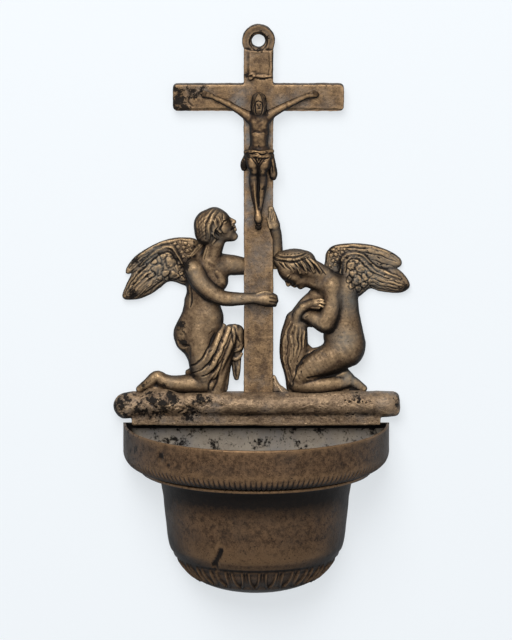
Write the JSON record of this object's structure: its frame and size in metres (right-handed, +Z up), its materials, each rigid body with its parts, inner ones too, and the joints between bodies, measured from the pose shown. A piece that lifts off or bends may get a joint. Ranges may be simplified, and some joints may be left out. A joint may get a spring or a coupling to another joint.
{
  "type": "holy water stoup",
  "caption": "Wall-hung holy water stoup in patinated cast brass: a crucifix with kneeling angels above a half-round basin, hung by an eye at the top.",
  "frame": {"origin": "where the axis of the hanging eye meets the wall plane", "axes": "+Z up, +X to the viewer's right, +Y into the wall; the object stands out from the wall towards -Y"},
  "size_m": [0.105, 0.048, 0.203],
  "materials": {
    "cast_brass": "cast, brown patina, worn on the high points",
    "basin_brass": "turned and chased, brown patina",
    "fixings": "plain, dull"
  },
  "bodies": {
    "root": {"cross": "cast_brass", "corpus": "cast_brass", "corpus_nails": "fixings", "left_angel": "cast_brass", "right_angel": "cast_brass", "angel_dowels": "fixings", "terrace": "cast_brass", "basin": "basin_brass", "basin_back": "basin_brass", "back_screws": "fixings"}
  },
  "joints": []
}
